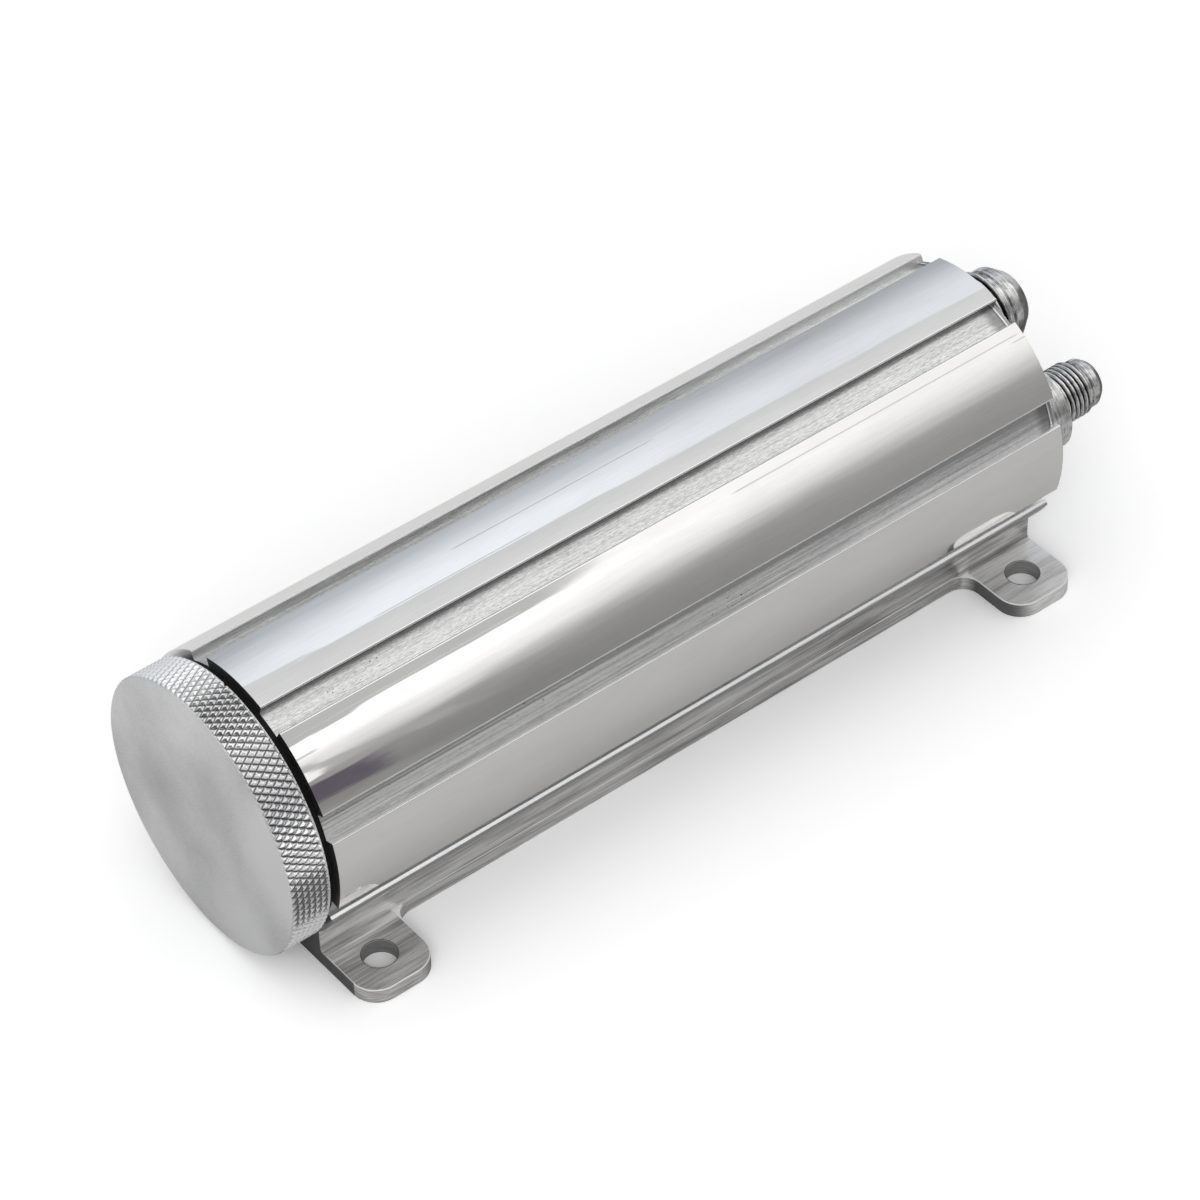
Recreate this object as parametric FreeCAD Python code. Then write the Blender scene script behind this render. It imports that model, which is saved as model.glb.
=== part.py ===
"""A power steering reservoir: an extruded aluminium tube on four feet, with a knurled screw cap at its
front end, and a plug with two threaded hose fittings at its rear end. All sizes are in millimetres.

The mounting plane is z = 0, with the origin at the centre of the four foot holes. The tube lies along X,
with the cap towards -X and the fittings towards +X.
"""
import FreeCAD, Part
import math
import os

# Extruded body
body_length = 214.0
land_r = 35.5
groove_depth = 2.4
groove_r = land_r - groove_depth
land_count = 8
land_half_angle = 16.9
land_edge_r = 0.35
tube_wall = 6.5
bore_r = land_r - tube_wall
bore_chamfer = 0.6

# Base and feet
tube_rise = 0.4
axis_height = land_r + tube_rise
leg_half_width = 24.8
leg_root_drop = 20.0
foot_thickness = 4.1
foot_width = 18.7
foot_tip_y = leg_half_width + foot_width
foot_length = 20.0
foot_corner_r = 6.5
foot_root_r = 0.8
foot_hole_r = 4.2
foot_hole_inset = 9.8
foot_hole_offset = 9.0
foot_hole_y = leg_half_width + foot_hole_offset
milled_depth = 0.3
milled_band = 1.2
cutter_r = 5.0

# Cap and its gasket
cap_inset = 0.5
cap_r = land_r - cap_inset
cap_thickness = 10.4
cap_front_wall = 7.0
cap_bevel = 0.4
spigot_clearance = 0.05
spigot_r = bore_r - spigot_clearance
spigot_wall = 4.95
cap_cavity_r = spigot_r - spigot_wall
spigot_engagement = 10.0
spigot_lead = 0.8
gasket_thickness = 2.0
gasket_clearance = 0.3
gasket_width = 3.65
gasket_inner_r = spigot_r + gasket_clearance
gasket_outer_r = gasket_inner_r + gasket_width

# Vent in the cap
vent_filter_r = 3.4
vent_filter_thickness = 3.0
vent_filter_clearance = 0.05
vent_filter_offset = 19.0
vent_pocket_depth = 4.4
vent_hole_r = 0.6
vent_mouth_gap = 1.0

# Splash plate under the cap, with its screws
splash_plate_inset = 1.35
splash_plate_r = spigot_r - splash_plate_inset
splash_plate_thickness = 1.2
splash_slot_r = 2.0
splash_slot_ring_r = 14.0
splash_slot_count = 6
splash_centre_r = 4.5
splash_screw_r = 1.2
splash_screw_clearance = 0.05
splash_screw_inset = 2.55
splash_screw_ring_r = spigot_r - splash_screw_inset
splash_screw_count = 3
splash_screw_length = 7.0
splash_head_r = 2.2
splash_head_height = 1.4

# Dipstick
dipstick_width = 6.0
dipstick_thickness = 1.2
dipstick_tip_gap = 21.2
dipstick_slot_depth = 8.0
dipstick_fit = 0.05
dipstick_mark_count = 2
dipstick_mark_r = 1.2
dipstick_mark_spacing = 22.0
dipstick_mark_inset = 12.0
boss_r = 5.5
boss_length = 13.0
roll_pin_r = 1.0
roll_pin_inset = 0.3
roll_pin_clearance = 0.02

# Rear plug
plug_clearance = 0.05
plug_thickness = 15.0
flange_lip = 0.3
plug_flange_r = groove_r + flange_lip
plug_flange_thickness = 1.2
plug_chamfer = 0.5
gland_depth = 2.1
gland_width = 2.6
gland_inset = 3.2
o_ring_r = 0.98
return_inset = 11.55
return_y = return_inset - bore_r
suction_inset = 11.0
suction_y = bore_r - suction_inset

# Stitch welds that hold the plug's flange
stitch_half_angle = 10.0
stitch_half_width = 1.0
stitch_height = 0.5

# Return fitting, 9/16 inch thread, and suction fitting, 7/8 inch thread
return_bore_r = 3.8
return_collar_r = 11.0
return_collar_length = 10.0
return_thread_r = 7.14
return_thread_end = 20.5
return_neck_r = 5.9
return_neck_length = 0.9
return_seat_r = 6.4
return_cone_length = 2.0
return_length = 25.3
suction_bore_r = 6.2
suction_collar_r = 12.5
suction_collar_length = 10.0
suction_thread_r = 11.11
suction_thread_end = 23.2
suction_neck_r = 9.5
suction_neck_length = 1.9
suction_seat_r = 10.15
suction_cone_length = 3.8
suction_length = 31.4
seat_angle = 37.0
collar_bevel = 0.4
thread_chamfer = 0.6
shank_depth = 7.0
shank_wall = 1.6
shank_clearance = 0.05
weld_leg = 1.6
weld_bulge = 0.36

# Return diffuser and suction strainer, both pressed into the plug
diffuser_wall = 1.0
diffuser_length = 22.0
diffuser_seat_depth = 4.0
diffuser_hole_r = 1.5
diffuser_hole_rows = 3
diffuser_hole_pitch = 5.0
diffuser_first_row = 4.0
strainer_r = 10.2
strainer_wall = 0.8
strainer_length = 20.0
strainer_seat_depth = 2.0
strainer_window_count = 6
strainer_window_width = 7.0
strainer_window_end = 3.0
mesh_clearance = 0.05
mesh_wall = 0.4
press_clearance = 0.02

# Baffle over the two ports, on four standoffs
baffle_clearance = 4.0
baffle_gap = diffuser_length + baffle_clearance
baffle_thickness = 1.5
baffle_edge_clearance = 0.4
baffle_hole_r = 2.5
baffle_inner_ring_r = 9.0
baffle_inner_count = 6
baffle_outer_ring_r = 17.5
baffle_outer_count = 12
standoff_r = 3.5
standoff_y = 10.0
standoff_inset = 8.0
standoff_z = bore_r - standoff_inset
standoff_stud_r = 1.9
standoff_stud_length = 6.0
baffle_screw_depth = 6.0
baffle_head_r = 3.3
baffle_head_height = 2.2
thread_fit = 0.05

# Magnet in the plug's inner face
magnet_r = 5.0
magnet_thickness = 4.0
magnet_proud = 1.0
magnet_y = -4.0
magnet_clearance = 0.05

# Places that follow from the sizes above
front_x = -body_length / 2
rear_x = body_length / 2
cap_rear_x = front_x - gasket_thickness
cap_front_x = cap_rear_x - cap_thickness
cavity_floor_x = cap_front_x + cap_front_wall
spigot_end_x = front_x + spigot_engagement
plug_r = bore_r - plug_clearance
plug_inner_x = rear_x - plug_thickness
baffle_x = plug_inner_x - baffle_gap

# How far a cut runs past the face that it opens
past = 1.0


def vec(x, y, z):
    """A point given from the tube's axis, placed above the mounting plane."""
    return FreeCAD.Vector(x, y, z + axis_height)


def polar(x, radius, degrees):
    """A point at an angle about the tube's axis, from +Y towards +Z."""
    angle = math.radians(degrees)
    return vec(x, radius * math.cos(angle), radius * math.sin(angle))


def turned(outline, y=0.0, z=0.0):
    """A solid of revolution about a line along X, from (x, radius) points."""
    points = [vec(x, y, z + radius) for x, radius in outline]
    face = Part.Face(Part.makePolygon(points + points[:1]))
    return face.revolve(vec(0, y, z), FreeCAD.Vector(1, 0, 0), 360)


def rod(x0, x1, radius, y=0.0, z=0.0):
    """A plain cylinder along X between two stations."""
    return Part.makeCylinder(radius, x1 - x0, vec(x0, y, z), FreeCAD.Vector(1, 0, 0))


def box(low, high):
    """A box between two corners given from the tube's axis."""
    size = [b - a for a, b in zip(low, high)]
    return Part.makeBox(size[0], size[1], size[2], vec(*low))


def ring_angles(count, first=0.0):
    """Equal angles round a circle."""
    return [first + i * 360.0 / count for i in range(count)]


def land_section(x):
    """The tube's outer section: raised lands with shallow grooves between them."""
    pitch = 360.0 / land_count
    edges = []
    for centre in ring_angles(land_count):
        start, end = centre - land_half_angle, centre + land_half_angle
        following = centre + pitch - land_half_angle
        middle = centre + pitch / 2
        land = Part.Arc(polar(x, land_r, start), polar(x, land_r, centre), polar(x, land_r, end))
        edges.append(land.toShape())
        edges.append(Part.LineSegment(polar(x, land_r, end), polar(x, groove_r, end)).toShape())
        floor = Part.Arc(polar(x, groove_r, end), polar(x, groove_r, middle), polar(x, groove_r, following))
        edges.append(floor.toShape())
        edges.append(Part.LineSegment(polar(x, groove_r, following), polar(x, land_r, following)).toShape())
    return Part.Face(Part.Wire(edges))


def base_section(x):
    """The base below the tube: two upright legs' outline and the flange that the feet are cut from."""
    foot_top = foot_thickness - axis_height
    half = [(foot_tip_y, -axis_height), (foot_tip_y, foot_top), (leg_half_width, foot_top),
            (leg_half_width, -leg_root_drop)]
    outline = half + [(-y, z) for y, z in reversed(half)]
    points = [vec(x, y, z) for y, z in outline]
    return Part.Face(Part.makePolygon(points + points[:1]))


def edges_along_x(shape, places, slack=0.01):
    """Edges parallel to X that pass through any of the given (y, z) places."""
    found = []
    for edge in shape.Edges:
        ends = [v.Point for v in edge.Vertexes]
        if len(ends) != 2 or abs(ends[0].x - ends[1].x) < slack:
            continue
        for place in places:
            if all(math.hypot(p.y - place.y, p.z - place.z) < slack for p in ends):
                found.append(edge)
                break
    return found


def land_edge_places():
    """The long edges of the lands that stand clear of the base."""
    places = []
    for centre in ring_angles(land_count):
        for side in (-land_half_angle, land_half_angle):
            place = polar(0, land_r, centre + side)
            if abs(place.y) > leg_half_width or place.z > axis_height:
                places.append(place)
    return places


def flange_cut(side):
    """What the cutter removes between the two feet of one side, with rounded inner corners."""
    half_span = body_length / 2 - foot_length
    inner_y = leg_half_width - milled_depth
    outer_y = foot_tip_y + cutter_r
    low_z = -axis_height - past
    high_z = foot_thickness + milled_band - axis_height
    low_y, high_y = sorted((side * inner_y, side * outer_y))
    cut = box((-half_span, low_y, low_z), (half_span, high_y, high_z))
    return cut.makeFillet(cutter_r, upright_edges(cut, inner_y))


def upright_edges(shape, y, slack=0.01):
    """The edges along Z that stand at a distance y from the middle plane, on either side of it."""
    found = []
    for edge in shape.Edges:
        ends = [v.Point for v in edge.Vertexes]
        if len(ends) == 2 and abs(abs(ends[0].y) - y) < slack and abs(ends[0].z - ends[1].z) > slack:
            found.append(edge)
    return found


def make_body():
    """The extrusion, with its feet cut out, its bore turned and its rear end counterbored."""
    section = land_section(front_x).fuse(base_section(front_x)).removeSplitter()
    block = section.Faces[0].extrude(FreeCAD.Vector(body_length, 0, 0))
    root = -axis_height + foot_thickness
    roots = [vec(0, side * leg_half_width, root) for side in (-1, 1)]
    block = block.makeFillet(foot_root_r, edges_along_x(block, roots))
    block = block.makeFillet(land_edge_r, edges_along_x(block, land_edge_places()))
    for side in (-1, 1):
        block = block.cut(flange_cut(side))
    block = block.makeFillet(foot_corner_r, upright_edges(block, foot_tip_y))
    counterbore_r = plug_flange_r + plug_clearance
    counterbore_x = rear_x - plug_flange_thickness
    mouth = turned([(front_x - past, 0), (front_x - past, bore_r + bore_chamfer + past),
                    (front_x + bore_chamfer, bore_r), (front_x + bore_chamfer, 0)])
    counterbore = rod(counterbore_x, rear_x + past, counterbore_r)
    cuts = [rod(front_x - past, rear_x + past, bore_r), mouth, counterbore]
    for x in (front_x + foot_hole_inset, rear_x - foot_hole_inset):
        for y in (-foot_hole_y, foot_hole_y):
            start = vec(x, y, -axis_height - past)
            cuts.append(Part.makeCylinder(foot_hole_r, foot_thickness + 2 * past, start))
    for cut in cuts:
        block = block.cut(cut)
    return block.removeSplitter()


def make_cap():
    """The turned cap: a disc with a hollow threaded spigot and a boss that holds the dipstick."""
    boss_end_x = cavity_floor_x + boss_length
    cap = turned([(cap_front_x, 0), (cap_front_x, cap_r - cap_bevel), (cap_front_x + cap_bevel, cap_r),
                  (cap_rear_x - cap_bevel, cap_r), (cap_rear_x, cap_r - cap_bevel), (cap_rear_x, spigot_r),
                  (spigot_end_x - spigot_lead, spigot_r), (spigot_end_x, spigot_r - spigot_lead),
                  (spigot_end_x, cap_cavity_r), (cavity_floor_x, cap_cavity_r), (cavity_floor_x, boss_r),
                  (boss_end_x, boss_r), (boss_end_x, 0)])
    slot_y = dipstick_width / 2 + dipstick_fit
    slot_z = dipstick_thickness / 2 + dipstick_fit
    cuts = [box((boss_end_x - dipstick_slot_depth, -slot_y, -slot_z), (boss_end_x + past, slot_y, slot_z))]
    cuts.append(roll_pin_solid(boss_r + past, roll_pin_r))
    pocket_x = cavity_floor_x - vent_pocket_depth
    pocket_r = vent_filter_r + vent_filter_clearance
    cuts.append(rod(pocket_x, cavity_floor_x + past, pocket_r, 0, vent_filter_offset))
    mouth = vec(cap_rear_x, 0, gasket_outer_r + vent_mouth_gap)
    inner = vec(pocket_x + 2 * vent_hole_r, 0, vent_filter_offset)
    along = (inner - mouth).normalize()
    run = inner.distanceToPoint(mouth)
    cuts.append(Part.makeCylinder(vent_hole_r, run + 2 * past, mouth - along * 2 * past, along))
    for angle in ring_angles(splash_screw_count, 90.0):
        hole = polar(0, splash_screw_ring_r, angle)
        depth = spigot_end_x - splash_screw_length
        cuts.append(rod(depth, spigot_end_x + past, splash_screw_r + splash_screw_clearance, hole.y,
                        hole.z - axis_height))
    for cut in cuts:
        cap = cap.cut(cut)
    return cap


def make_gasket():
    """The black ring that the cap closes on."""
    return turned([(cap_rear_x, gasket_inner_r), (cap_rear_x, gasket_outer_r),
                   (front_x, gasket_outer_r), (front_x, gasket_inner_r)])


def make_vent_filter():
    """A porous plug that lets air through the cap and keeps splashes in."""
    start = cavity_floor_x - vent_filter_thickness
    return rod(start, cavity_floor_x, vent_filter_r, 0, vent_filter_offset)


def make_splash_plate():
    """The disc screwed to the end of the spigot, with a ring of drain holes."""
    end_x = spigot_end_x + splash_plate_thickness
    plate = rod(spigot_end_x, end_x, splash_plate_r)
    cuts = [rod(spigot_end_x - past, end_x + past, splash_centre_r)]
    for angle in ring_angles(splash_slot_count):
        hole = polar(0, splash_slot_ring_r, angle)
        cuts.append(rod(spigot_end_x - past, end_x + past, splash_slot_r, hole.y, hole.z - axis_height))
    for angle in ring_angles(splash_screw_count, 90.0):
        hole = polar(0, splash_screw_ring_r, angle)
        radius = splash_screw_r + splash_screw_clearance
        cuts.append(rod(spigot_end_x - past, end_x + past, radius, hole.y, hole.z - axis_height))
    for cut in cuts:
        plate = plate.cut(cut)
    return plate


def make_splash_screws():
    """Three small screws that hold the splash plate."""
    head_x = spigot_end_x + splash_plate_thickness
    tip_x = head_x - splash_screw_length
    screws = []
    for angle in ring_angles(splash_screw_count, 90.0):
        place = polar(0, splash_screw_ring_r, angle)
        outline = [(tip_x, 0), (tip_x, splash_screw_r), (head_x, splash_screw_r), (head_x, splash_head_r),
                   (head_x + splash_head_height / 2, splash_head_r),
                   (head_x + splash_head_height, splash_head_r / 2), (head_x + splash_head_height, 0)]
        screws.append(turned(outline, place.y, place.z - axis_height))
    return Part.makeCompound(screws)


def dipstick_pin_x():
    """The station of the pin that crosses the boss and the dipstick."""
    return cavity_floor_x + boss_length - dipstick_slot_depth / 2


def roll_pin_solid(half_length, radius):
    """A pin across the boss along Z."""
    start = vec(dipstick_pin_x(), 0, -half_length)
    return Part.makeCylinder(radius, 2 * half_length, start)


def make_dipstick_pin():
    """The pin that holds the dipstick, a little shorter than the boss is wide."""
    return roll_pin_solid(boss_r - roll_pin_inset, roll_pin_r - roll_pin_clearance)


def make_dipstick():
    """A flat strip with a rounded tip and two level marks drilled through it."""
    start_x = cavity_floor_x + boss_length - dipstick_slot_depth
    end_x = baffle_x - baffle_head_height - dipstick_tip_gap
    half = dipstick_width / 2
    strip = box((start_x, -half, -dipstick_thickness / 2), (end_x - half, half, dipstick_thickness / 2))
    tip = Part.makeCylinder(half, dipstick_thickness, vec(end_x - half, 0, -dipstick_thickness / 2))
    strip = strip.fuse(tip).removeSplitter()
    for mark in range(dipstick_mark_count):
        x = end_x - dipstick_mark_inset - mark * dipstick_mark_spacing
        start = vec(x, 0, -dipstick_thickness)
        strip = strip.cut(Part.makeCylinder(dipstick_mark_r, 2 * dipstick_thickness, start))
    return strip.cut(roll_pin_solid(boss_r, roll_pin_r))


def make_plug():
    """The turned plug that closes the rear end, with a thin flange, an O-ring groove and two ports."""
    gland_x = plug_inner_x + gland_inset
    floor_r = plug_r - gland_depth
    flange_x = rear_x - plug_flange_thickness
    plug = turned([(plug_inner_x, 0), (plug_inner_x, plug_r - plug_chamfer),
                   (plug_inner_x + plug_chamfer, plug_r), (gland_x, plug_r), (gland_x, floor_r),
                   (gland_x + gland_width, floor_r), (gland_x + gland_width, plug_r), (flange_x, plug_r),
                   (flange_x, plug_flange_r), (rear_x, plug_flange_r), (rear_x, 0)])
    ports = ((return_y, return_bore_r), (suction_y, suction_bore_r))
    cuts = []
    for y, bore in ports:
        cuts.append(rod(plug_inner_x - past, rear_x + past, bore, y))
        cuts.append(rod(rear_x - shank_depth, rear_x + past, bore + shank_wall + shank_clearance, y))
    diffuser_seat_r = return_bore_r + diffuser_wall + press_clearance
    cuts.append(rod(plug_inner_x - past, plug_inner_x + diffuser_seat_depth, diffuser_seat_r, return_y))
    strainer_seat_r = strainer_r + press_clearance
    cuts.append(rod(plug_inner_x - past, plug_inner_x + strainer_seat_depth, strainer_seat_r, suction_y))
    magnet_depth = magnet_thickness - magnet_proud
    magnet_seat_r = magnet_r + magnet_clearance
    cuts.append(rod(plug_inner_x - past, plug_inner_x + magnet_depth, magnet_seat_r, magnet_y))
    for y in (-standoff_y, standoff_y):
        for z in (-standoff_z, standoff_z):
            depth = plug_inner_x + standoff_stud_length + thread_fit
            cuts.append(rod(plug_inner_x - past, depth, standoff_stud_r + thread_fit, y, z))
    for cut in cuts:
        plug = plug.cut(cut)
    return plug


def make_plug_o_ring():
    """The rubber ring in the plug's groove."""
    centre = vec(plug_inner_x + gland_inset + gland_width / 2, 0, 0)
    ring_r = bore_r - plug_clearance - gland_depth / 2
    return Part.makeTorus(ring_r, o_ring_r, centre, FreeCAD.Vector(1, 0, 0))


def make_stitch_welds():
    """A short bead at each land, over the seam between the flange and the body."""
    seam_r = plug_flange_r
    ends = (vec(rear_x, 0, seam_r - stitch_half_width), vec(rear_x, 0, seam_r + stitch_half_width))
    crown = vec(rear_x + stitch_height, 0, seam_r)
    arc = Part.Arc(ends[0], crown, ends[1])
    outline = Part.Wire([arc.toShape(), Part.LineSegment(ends[1], ends[0]).toShape()])
    beads = []
    for angle in ring_angles(land_count):
        bead = Part.Face(outline)
        bead.rotate(vec(0, 0, 0), FreeCAD.Vector(1, 0, 0), angle - stitch_half_angle)
        beads.append(bead.revolve(vec(0, 0, 0), FreeCAD.Vector(1, 0, 0), 2 * stitch_half_angle))
    return Part.makeCompound(beads)


def make_fitting(y, bore, collar, thread, neck, seat, length):
    """A turned hose fitting: shank, round collar, thread cylinder, neck and flared seat.

    The collar and the thread are given by radius and end, and the neck and the seat by radius and length.
    """
    shank_r = bore + shank_wall
    collar_r, collar_x = collar[0], rear_x + collar[1]
    thread_r, thread_x = thread[0], rear_x + thread[1]
    neck_r, neck_x = neck[0], thread_x + neck[1]
    end_x = rear_x + length
    seat_r, cone_x = seat[0], end_x - seat[1]
    nose_r = seat_r - seat[1] * math.tan(math.radians(seat_angle))
    return turned([(rear_x - shank_depth, bore), (rear_x - shank_depth, shank_r), (rear_x, shank_r),
                   (rear_x, collar_r), (collar_x - collar_bevel, collar_r),
                   (collar_x, collar_r - collar_bevel), (collar_x, thread_r),
                   (thread_x - thread_chamfer, thread_r), (thread_x, thread_r - thread_chamfer),
                   (thread_x, neck_r), (neck_x, neck_r), (neck_x, seat_r), (cone_x, seat_r),
                   (end_x, nose_r), (end_x, bore)], y)


def make_return_fitting():
    """The smaller fitting, where fluid comes back."""
    return make_fitting(return_y, return_bore_r, (return_collar_r, return_collar_length),
                        (return_thread_r, return_thread_end), (return_neck_r, return_neck_length),
                        (return_seat_r, return_cone_length), return_length)


def make_suction_fitting():
    """The larger fitting, which feeds the pump."""
    return make_fitting(suction_y, suction_bore_r, (suction_collar_r, suction_collar_length),
                        (suction_thread_r, suction_thread_end), (suction_neck_r, suction_neck_length),
                        (suction_seat_r, suction_cone_length), suction_length)


def make_fitting_welds():
    """A fillet bead round the foot of each collar."""
    near, far = weld_leg * weld_bulge, weld_leg * (1 - weld_bulge)
    beads = []
    for y, collar in ((return_y, return_collar_r), (suction_y, suction_collar_r)):
        outline = [(rear_x, collar), (rear_x, collar + weld_leg), (rear_x + near, collar + far),
                   (rear_x + far, collar + near), (rear_x + weld_leg, collar)]
        beads.append(turned(outline, y))
    return Part.makeCompound(beads)


def make_diffuser():
    """A closed tube with cross holes that spreads the returning fluid under the baffle."""
    outer = return_bore_r + diffuser_wall
    start = plug_inner_x - diffuser_length
    end = plug_inner_x + diffuser_seat_depth
    tube = rod(start, end, outer, return_y)
    tube = tube.cut(rod(start + diffuser_wall, end + past, return_bore_r, return_y))
    for row in range(diffuser_hole_rows):
        x = start + diffuser_first_row + row * diffuser_hole_pitch
        for direction in (FreeCAD.Vector(0, 1, 0), FreeCAD.Vector(0, 0, 1)):
            first = vec(x, return_y, 0) - direction * 2 * outer
            tube = tube.cut(Part.makeCylinder(diffuser_hole_r, 4 * outer, first, direction))
    return tube


def make_strainer_cage():
    """A cup with tall windows, pressed over the suction port."""
    start = plug_inner_x - strainer_length
    end = plug_inner_x + strainer_seat_depth
    cage = rod(start, end, strainer_r, suction_y)
    cage = cage.cut(rod(start + strainer_wall, end + past, strainer_r - strainer_wall, suction_y))
    half = strainer_window_width / 2
    for angle in ring_angles(strainer_window_count // 2):
        window = box((start + strainer_window_end, -strainer_r - past, -half),
                     (plug_inner_x - strainer_window_end, strainer_r + past, half))
        window.rotate(vec(0, 0, 0), FreeCAD.Vector(1, 0, 0), angle / 2)
        window.translate(FreeCAD.Vector(0, suction_y, 0))
        cage = cage.cut(window)
    return cage


def make_strainer_mesh():
    """The fine mesh sleeve inside the cage."""
    outer = strainer_r - strainer_wall - mesh_clearance
    start = plug_inner_x - strainer_length + strainer_wall
    return turned([(start, outer - mesh_wall), (start, outer), (plug_inner_x, outer),
                   (plug_inner_x, outer - mesh_wall)], suction_y)


def make_baffle():
    """A perforated disc that keeps the returning fluid from foaming."""
    end = baffle_x + baffle_thickness
    plate = rod(baffle_x, end, bore_r - baffle_edge_clearance)
    cuts = []
    rings = ((baffle_inner_ring_r, baffle_inner_count), (baffle_outer_ring_r, baffle_outer_count))
    for ring_r, count in rings:
        for angle in ring_angles(count):
            hole = polar(0, ring_r, angle)
            cuts.append(rod(baffle_x - past, end + past, baffle_hole_r, hole.y, hole.z - axis_height))
    for y in (-standoff_y, standoff_y):
        for z in (-standoff_z, standoff_z):
            cuts.append(rod(baffle_x - past, end + past, standoff_stud_r + thread_fit, y, z))
    return plate.cut(Part.makeCompound(cuts))


def make_standoffs():
    """Four spacers, each with a stud in the plug and a tapped hole for the baffle's screw."""
    start = baffle_x + baffle_thickness
    posts = []
    for y in (-standoff_y, standoff_y):
        for z in (-standoff_z, standoff_z):
            post = rod(start, plug_inner_x, standoff_r, y, z)
            post = post.fuse(rod(plug_inner_x, plug_inner_x + standoff_stud_length, standoff_stud_r, y, z))
            hole = rod(start - past, start + baffle_screw_depth + past, standoff_stud_r + thread_fit, y, z)
            posts.append(post.cut(hole).removeSplitter())
    return Part.makeCompound(posts)


def make_baffle_screws():
    """Four button-head screws through the baffle into the standoffs."""
    screws = []
    shank_end = baffle_x + baffle_thickness + baffle_screw_depth
    for y in (-standoff_y, standoff_y):
        for z in (-standoff_z, standoff_z):
            outline = [(shank_end, 0), (shank_end, standoff_stud_r), (baffle_x, standoff_stud_r),
                       (baffle_x, baffle_head_r), (baffle_x - baffle_head_height / 2, baffle_head_r),
                       (baffle_x - baffle_head_height, baffle_head_r / 2),
                       (baffle_x - baffle_head_height, 0)]
            screws.append(turned(outline, y, z))
    return Part.makeCompound(screws)


def make_magnet():
    """A disc magnet that gathers iron wear from the fluid."""
    start = plug_inner_x - magnet_proud
    return rod(start, start + magnet_thickness, magnet_r, magnet_y)


pieces = {
    "body": make_body,
    "filler_cap": make_cap,
    "cap_gasket": make_gasket,
    "vent_filter": make_vent_filter,
    "splash_plate": make_splash_plate,
    "splash_plate_screws": make_splash_screws,
    "dipstick": make_dipstick,
    "dipstick_pin": make_dipstick_pin,
    "rear_plug": make_plug,
    "plug_o_ring": make_plug_o_ring,
    "plug_stitch_welds": make_stitch_welds,
    "return_fitting": make_return_fitting,
    "suction_fitting": make_suction_fitting,
    "fitting_welds": make_fitting_welds,
    "return_diffuser": make_diffuser,
    "strainer_cage": make_strainer_cage,
    "strainer_mesh": make_strainer_mesh,
    "baffle": make_baffle,
    "baffle_standoffs": make_standoffs,
    "baffle_screws": make_baffle_screws,
    "magnet": make_magnet,
}

os.makedirs("parts", exist_ok=True)
for name, make in pieces.items():
    shape = make()
    shape.exportStep("parts/" + name + ".step")
    print(name, len(shape.Solids), "solid", round(shape.Volume / 1000, 3), "cm3", shape.isValid())
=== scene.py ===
# %% [markdown]
# # A power steering reservoir
#
# The real thing is a thick aluminium tube with eight polished lands, two pairs of feet, a knurled screw cap
# and two threaded hose fittings. The construction comes in as a fixed frame of finished solids. This lesson
# gives each of them its surface, and makes again the few whose surface is a shape of its own: the knurl and
# the threads. The weld beads and the woven mesh get their shape from a bump.

import math
import bpy
from collections import namedtuple
from functools import reduce
from mathutils import Matrix, Vector


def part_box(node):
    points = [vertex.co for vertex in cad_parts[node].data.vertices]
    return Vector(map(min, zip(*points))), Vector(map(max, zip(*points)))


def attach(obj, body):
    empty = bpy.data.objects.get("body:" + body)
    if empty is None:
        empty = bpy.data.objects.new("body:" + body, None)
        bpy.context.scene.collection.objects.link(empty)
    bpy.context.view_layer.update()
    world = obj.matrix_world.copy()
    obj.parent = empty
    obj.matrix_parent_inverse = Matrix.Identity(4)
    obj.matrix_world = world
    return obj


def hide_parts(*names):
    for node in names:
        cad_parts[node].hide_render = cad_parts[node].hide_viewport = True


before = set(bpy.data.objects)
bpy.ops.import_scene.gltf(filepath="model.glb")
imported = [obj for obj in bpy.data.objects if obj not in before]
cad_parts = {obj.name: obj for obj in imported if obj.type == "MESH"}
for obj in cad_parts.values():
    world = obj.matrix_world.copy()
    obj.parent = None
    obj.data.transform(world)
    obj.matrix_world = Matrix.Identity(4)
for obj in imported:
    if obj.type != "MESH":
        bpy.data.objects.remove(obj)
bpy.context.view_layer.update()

# %% [markdown]
# ## Sizes
#
# Every length below is in metres, apart from the spots of noise, the soft steps and the few lists that say
# otherwise. What the frame already knows is read from the boxes of its nodes, so that a new piece always sits
# where the solid does. Only finishes and threads need sizes of their own.

# %% Sizes taken from the frame
MM = 0.001
UP = Vector((0, 0, 1))

body_low, body_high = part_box("body")
cap_low, cap_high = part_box("filler_cap")
gasket_low, gasket_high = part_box("cap_gasket")

axis_z = (cap_low.z + cap_high.z) / 2
front_x, rear_x = body_low.x, body_high.x
land_r = body_high.z - axis_z
cap_r = (cap_high.y - cap_low.y) / 2
print("tube", round((rear_x - front_x) / MM, 2), "mm long, radius", round(land_r / MM, 2), "mm")


def millimetres(*numbers):
    """The same numbers in metres."""
    return tuple(number * MM for number in numbers)


# %% [markdown]
# ## Camera
#
# The photograph looks down on the reservoir from the cap's end through a long lens. The camera is placed by
# its own position and by the direction in which it looks back, and it leans a little to one side, as a camera
# held over a table does.

# %% Camera
FRAME_WIDTH = 1200
camera_azimuth = math.radians(-37.29)
camera_elevation = math.radians(43.51)
camera_lean = math.radians(-1.90)
camera_place = Vector(millimetres(-472.2, -612.3, 758.2))
camera_focal_pixels = 4543.4
camera_centre = (600.83, 616.88)
SENSOR = 36.0


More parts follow.
